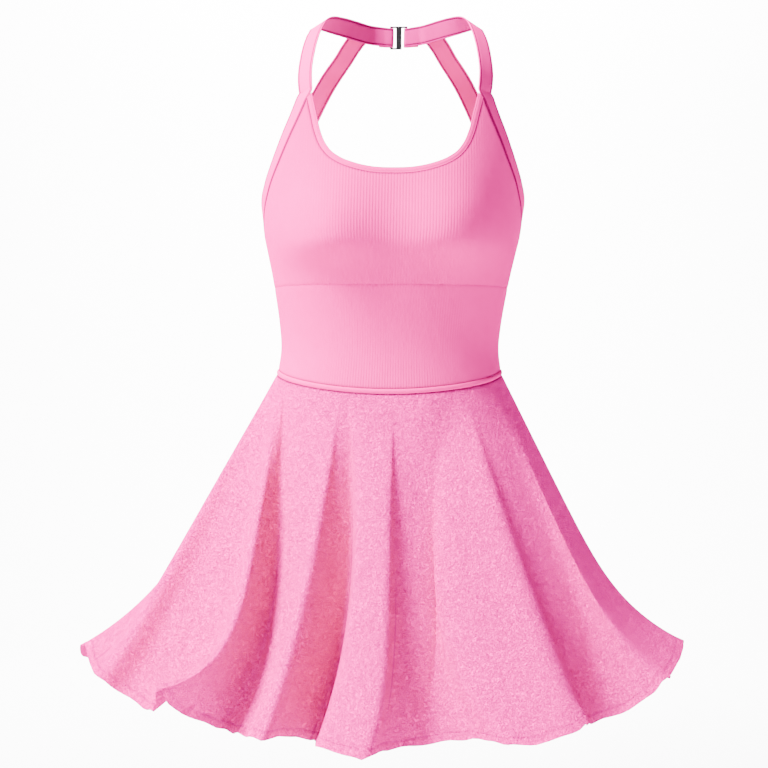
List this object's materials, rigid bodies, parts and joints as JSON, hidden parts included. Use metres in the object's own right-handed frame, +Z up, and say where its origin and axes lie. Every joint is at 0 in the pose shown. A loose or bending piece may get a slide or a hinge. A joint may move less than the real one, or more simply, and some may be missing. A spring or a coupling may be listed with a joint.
{
  "type": "athletic dress",
  "caption": "Sleeveless halter athletic dress, filled out as worn: ribbed fitted bodice, scooped neck, open back with straps and a neck clasp, flared skirt with soft folds.",
  "frame": {"origin": "nape: the middle of the neck band's inner face at the centre back, where the garment is held", "axes": "+Z up, -Y the front of the dress, +X the right side of the front view"},
  "size_m": [0.6802, 0.5289, 0.7916],
  "materials": {
    "ribbed_knit": "fine ribbed knit, pink",
    "knit_band": "smooth folded knit band, pink",
    "crinkle_crepe": "crinkled crepe, pink",
    "dark_nickel": "polished dark nickel"
  },
  "bodies": {
    "root": {"front_bust_panel": "ribbed_knit", "front_midriff_panel": "ribbed_knit", "back_panel": "ribbed_knit", "neckline_binding": "knit_band", "back_binding": "knit_band", "waist_band": "knit_band", "band_left": "knit_band", "band_right": "knit_band", "back_strap_left": "knit_band", "back_strap_right": "knit_band", "neck_clasp": "dark_nickel", "skirt_front": "crinkle_crepe", "skirt_back": "crinkle_crepe"}
  },
  "joints": []
}
